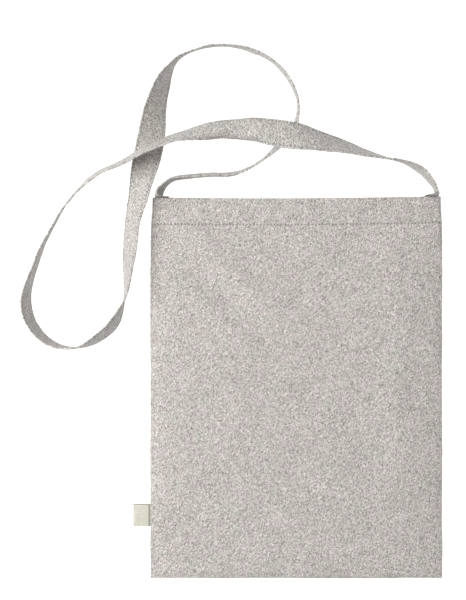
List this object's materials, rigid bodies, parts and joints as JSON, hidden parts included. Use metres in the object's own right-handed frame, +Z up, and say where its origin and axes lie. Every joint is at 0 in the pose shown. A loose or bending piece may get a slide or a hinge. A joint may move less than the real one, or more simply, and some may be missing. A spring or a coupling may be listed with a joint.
{
  "type": "shopping bag",
  "caption": "Flat cotton shoulder bag lying on its back, open hemmed mouth, a long flat strap laid out in loops beside it and a small bare label in the side seam.",
  "frame": {"origin": "middle of the back panel's underside, on the table", "axes": "+X across the bag to the right seam, +Y from the bottom seam to the mouth, +Z up from the table"},
  "size_m": [0.4333, 0.5517, 0.0411],
  "materials": {
    "cotton": "matt flecked cotton",
    "label_tape": "matt woven tape"
  },
  "bodies": {
    "root": {"front_panel": "cotton", "back_panel": "cotton", "shoulder_strap": "cotton", "side_label": "label_tape"}
  },
  "joints": []
}
